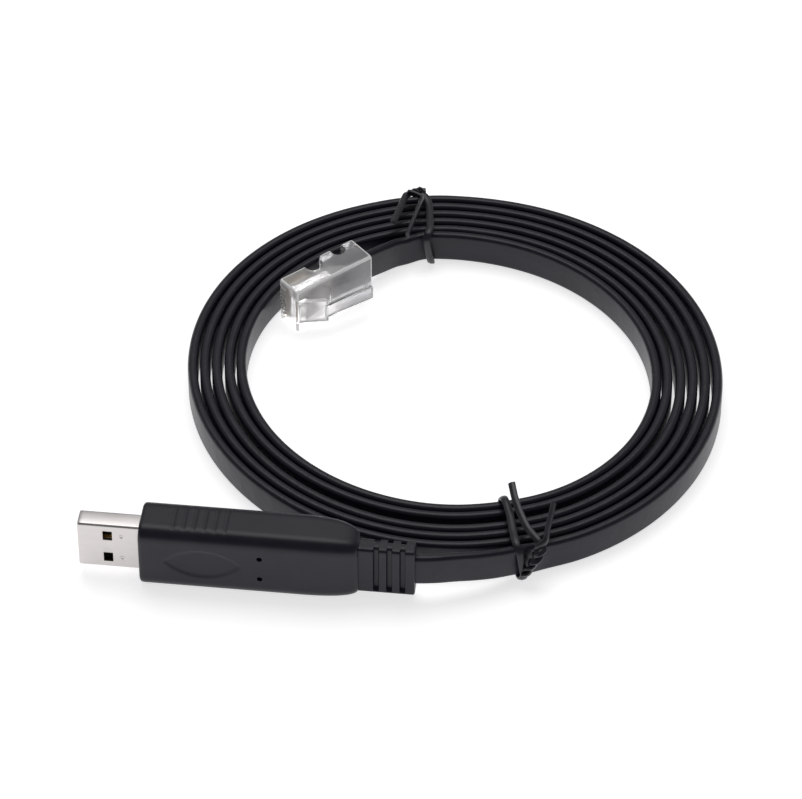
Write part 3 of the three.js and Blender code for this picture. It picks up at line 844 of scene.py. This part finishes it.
def make_plug(clear, edge):
    rear = -PLUG_BACK
    body = plug_bar([
        (0, PLUG_BACK), (PLUG_LENGTH, PLUG_BACK), (PLUG_LENGTH, rear),
        (PLUG_NOSE_LENGTH + NOSE_STEP, rear), (PLUG_NOSE_LENGTH, PLUG_NOSE_FACE),
        (0, PLUG_NOSE_FACE),
    ], 0, PLUG_WIDTH)
    wear(body, clear, edge)
    # The bevels take the second material, which is plain opaque white: a painted highlight along
    # the edges.
    soften(body, BODY_ROUND, 2, edge=1)
    thick, height, depth = CAVITY
    middle = PLUG_WIDTH / 2
    low, high = middle - height / 2, middle + height / 2
    bed_end, bed_depth, bed_half = LATCH_BED
    channel = WIRE_CHANNEL_HALF_HEIGHT
    tools = [
        plug_block(PLUG_LENGTH - depth, PLUG_LENGTH + 1, -thick / 2, thick / 2, low, high),
        plug_block(WIRE_CHANNEL_START, PLUG_LENGTH - depth + 0.5,
                   -WIRE_CHANNEL / 2, WIRE_CHANNEL / 2, middle - channel, middle + channel),
        plug_block(-1, bed_end, PLUG_BACK - 1, PLUG_BACK + bed_depth,
                   middle - bed_half, middle + bed_half),
    ]
    for (start, end, bottom), top in ((NOSE_POCKET, PLUG_NOSE_FACE), (REAR_POCKET, rear)):
        tools.append(plug_bar(bowl(start, end, top, bottom), SIDE_WALL, PLUG_WIDTH + 1))
    for k in range(CONDUCTORS):
        level = middle + (k - (CONDUCTORS - 1) / 2) * CONDUCTOR_PITCH
        tools.append(plug_block(
            -1, BLADE_SLOT_END, BLADE_SLOT_FLOOR, PLUG_NOSE_FACE + 1,
            level - BLADE_SLOT_HALF_WIDTH, level + BLADE_SLOT_HALF_WIDTH,
        ))
    combine(body, tools)
    half = LATCH_THICK / 2
    root = latch_strip([
        (LATCH_ROOT[0], -half), (LATCH_ROOT[1], -half), (LATCH_ROOT[1] + 0.2, 0.2),
        (LATCH_BEND, LATCH_BEND_OFF - half), (LATCH_BEND, LATCH_BEND_OFF + half),
        (LATCH_ROOT[0] + 0.9, 0.75), (LATCH_ROOT[0], 0.3),
    ], LATCH_ROOT_WIDTH)
    tab = latch_strip([
        (LATCH_BEND - 1.0, LATCH_BEND_OFF - 1.0), (LATCH_BEND, LATCH_BEND_OFF - half),
        (LATCH_REACH, LATCH_STAND_OFF - half), (LATCH_REACH, LATCH_STAND_OFF + half),
        (LATCH_BEND - half, LATCH_BEND_OFF + half),
    ], LATCH_TAB_WIDTH)
    combine(root, [tab], "UNION")
    wear(root, clear, edge)
    # The latch's bevels take the painted white highlight too.
    soften(root, LATCH_ROUND, 2, edge=1)
    combine(body, [root], "UNION")
    finish_solid(body, "modular_plug")
    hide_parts("rj45_body")
    return body


# USB plug's shell

SHELL_WIDTH = 12.0
SHELL_THICK = 4.5
SHELL_WALL = 0.3
SHELL_CORNER = 0.6
SHELL_LENGTH = 16.8
LATCH_HOLES = (5.4, 7.4, 2.5, 6.1)   # start, end, height and pitch
DIMPLE_X = 9.4
DIMPLE_RADIUS = 0.55
DIMPLE_DEPTH = 0.22


def make_shell(material):
    start, end, hole_height, pitch = LATCH_HOLES
    xs = sorted(set(
        [0.0, 0.25, start, end, SHELL_LENGTH] + steps(0.25, start, 0.8)
        + steps(start, end, 0.5) + steps(end, 8.6, 0.6) + steps(8.6, 10.2, 0.1)
        + steps(10.2, SHELL_LENGTH, 1.1)
    ))
    hole_edges = [side * pitch / 2 + edge * hole_height / 2 for side in (-1, 1) for edge in (-1, 1)]
    flat = SHELL_WIDTH / 2 - SHELL_CORNER
    levels = sorted(set([-flat, flat] + hole_edges + [
        round(side * pitch / 2 + offset * 0.1, 4) for side in (-1, 1) for offset in range(-7, 8)
    ]))
    ring = []
    half = SHELL_THICK / 2
    for side in (1, -1):
        ring += [(side * half, side * level) for level in levels]
        for k in range(1, 6):
            turn = math.radians(90 * k / 6)
            ring.append((
                side * (half - SHELL_CORNER + SHELL_CORNER * math.cos(turn)),
                side * (flat + SHELL_CORNER * math.sin(turn)),
            ))
        inner = half - SHELL_CORNER
        ring += [(side * value, side * SHELL_WIDTH / 2) for value in (inner, 0.0, -inner)]
        for k in range(1, 6):
            turn = math.radians(90 + 90 * k / 6)
            ring.append((
                side * (-inner + SHELL_CORNER * math.cos(turn)),
                side * (flat + SHELL_CORNER * math.sin(turn)),
            ))
    rings = []
    for x in xs:
        rings.append([])
        for y, z in ring:
            dent = 0.0
            for side in (-1, 1):
                away = math.hypot(x - DIMPLE_X, z - side * pitch / 2)
                if abs(y) > half - 0.01 and away < DIMPLE_RADIUS:
                    dent = DIMPLE_DEPTH * math.cos(math.pi / 2 * away / DIMPLE_RADIUS)
            tuck = 0.12 if x == 0.0 else 0.0
            shrunk_y = math.copysign(max(0.0, abs(y) - dent - tuck), y) if y else 0.0
            shrunk_z = math.copysign(max(0.0, abs(z) - tuck), z) if z else 0.0
            rings[-1].append(at(x, shrunk_y, AXIS_HEIGHT + shrunk_z))
    points, faces = loft(rings, caps=False)
    kept = []
    for face in faces:
        x, y, z = sum((place_of(*points[index]) for index in face), Vector()) / len(face)
        z -= AXIS_HEIGHT
        in_hole = start < x < end and abs(abs(z) - pitch / 2) < hole_height / 2
        if not (in_hole and abs(y) > half - 0.01):
            kept.append(face)
    shell = piece("shell", points, kept, material, math.radians(30))
    wall = shell.modifiers.new("wall", "SOLIDIFY")
    wall.thickness = SHELL_WALL * MM
    wall.offset = -1.0
    wall.use_even_offset = True
    apply_modifiers(shell)
    soften(shell, 0.05, 2, 40)
    for face in shell.data.polygons:
        face.use_smooth = True
    shell.data.set_sharp_from_angle(angle=math.radians(30))
    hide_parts("usb_shell")
    return shell


# Stage

FLOOR_GLOW = 0.68


def make_stage():
    mesh = bpy.data.meshes.new("floor")
    half = 4.0
    corners = [(-half, -half, 0), (half, -half, 0), (half, half, 0), (-half, half, 0)]
    mesh.from_pydata(corners, [], [(0, 1, 2, 3)])
    floor = bpy.data.objects.new("floor", mesh)
    bpy.context.scene.collection.objects.link(floor)
    made = Shader("floor", roughness=0.9)
    made.shader.inputs["Base Color"].default_value = (0.93, 0.93, 0.94, 1)
    made.shader.inputs["Emission Color"].default_value = (1.0, 1.0, 1.0, 1)
    made.shader.inputs["Emission Strength"].default_value = FLOOR_GLOW
    made.shader.inputs["Specular IOR Level"].default_value = 0.1
    mesh.materials.append(made.material)


def area_light(name, place, target, size, power):
    data = bpy.data.lights.new(name, "AREA")
    data.shape = "SQUARE"
    data.size = size
    data.energy = power
    light = bpy.data.objects.new(name, data)
    bpy.context.scene.collection.objects.link(light)
    light.location = place
    direction = Vector(place) - Vector(target)
    light.rotation_euler = direction.to_track_quat("Z", "Y").to_euler()


WORLD_FRONT = 0.13
WORLD_BACK = 0.34


def make_lights():
    world = bpy.data.worlds.new("world")
    bpy.context.scene.world = world
    world.use_nodes = True
    background = world.node_tree.nodes["Background"]
    background.inputs["Color"].default_value = (1.0, 1.0, 1.0, 1)
    direction = world.node_tree.nodes.new("ShaderNodeTexCoord")
    split = world.node_tree.nodes.new("ShaderNodeSeparateXYZ")
    towards_back = world.node_tree.nodes.new("ShaderNodeMapRange")
    towards_back.interpolation_type = "SMOOTHSTEP"
    for key, value in (
        ("From Min", -0.25), ("From Max", 0.55), ("To Min", WORLD_FRONT), ("To Max", WORLD_BACK),
    ):
        towards_back.inputs[key].default_value = value
    link = world.node_tree.links.new
    link(direction.outputs["Generated"], split.inputs["Vector"])
    link(split.outputs["Y"], towards_back.inputs["Value"])
    link(towards_back.outputs["Result"], background.inputs["Strength"])
    area_light("top", (-0.1, 0.42, 1.1), (0, 0.0, 0), 0.8, 4.6)
    bpy.context.scene.view_settings.view_transform = "Standard"


make_camera()

jacket = jacket_material()
cable, route = make_cable(jacket)
# The second material is a painted highlight, plain white, for the plug's bevelled edges.
modular_plug = make_plug(
    clear_material("clear_plug", 0.7, (1.0, 0.99, 0.985), (0.77, 0.765, 0.78)),
    clear_material("clear_plug_edge_highlight", 0.0, (1.0, 1.0, 1.0), (1.0, 1.0, 1.0)),
)

moulding = moulding_material()
make_housing(moulding)
make_relief(moulding)
coating = plastic_material("tie_coating", (0.0115, 0.011, 0.0185), (0.019, 0.0185, 0.027), 0.35)
for tie_name, tie_shape in TIES.items():
    make_tie(tie_name, tie_shape, coating)


def dress(name, material):
    node = bpy.data.objects[name]
    node.data.materials.clear()
    node.data.materials.append(material)


nickel = plated_material("plug_shell", (0.64, 0.61, 0.6), (0.68, 0.65, 0.64), 0.33)
make_shell(nickel)
gold = plated_material("contact_plating", (0.75, 0.52, 0.2), (0.85, 0.6, 0.26), 0.25)
tongue = plastic_material("plug_tongue", (0.012, 0.012, 0.013), (0.018, 0.018, 0.019), 0.45)
sleeve = plastic_material("conductor_sleeve", (0.5, 0.49, 0.48), (0.6, 0.59, 0.57), 0.45)
dress("usb_tongue", tongue)
for number in range(1, 5):
    dress(f"usb_contact_{number}", gold)
for number in range(1, 9):
    dress(f"conductor_{number}", sleeve)
    dress(f"rj45_contact_{number}", gold)

make_stage()
make_lights()
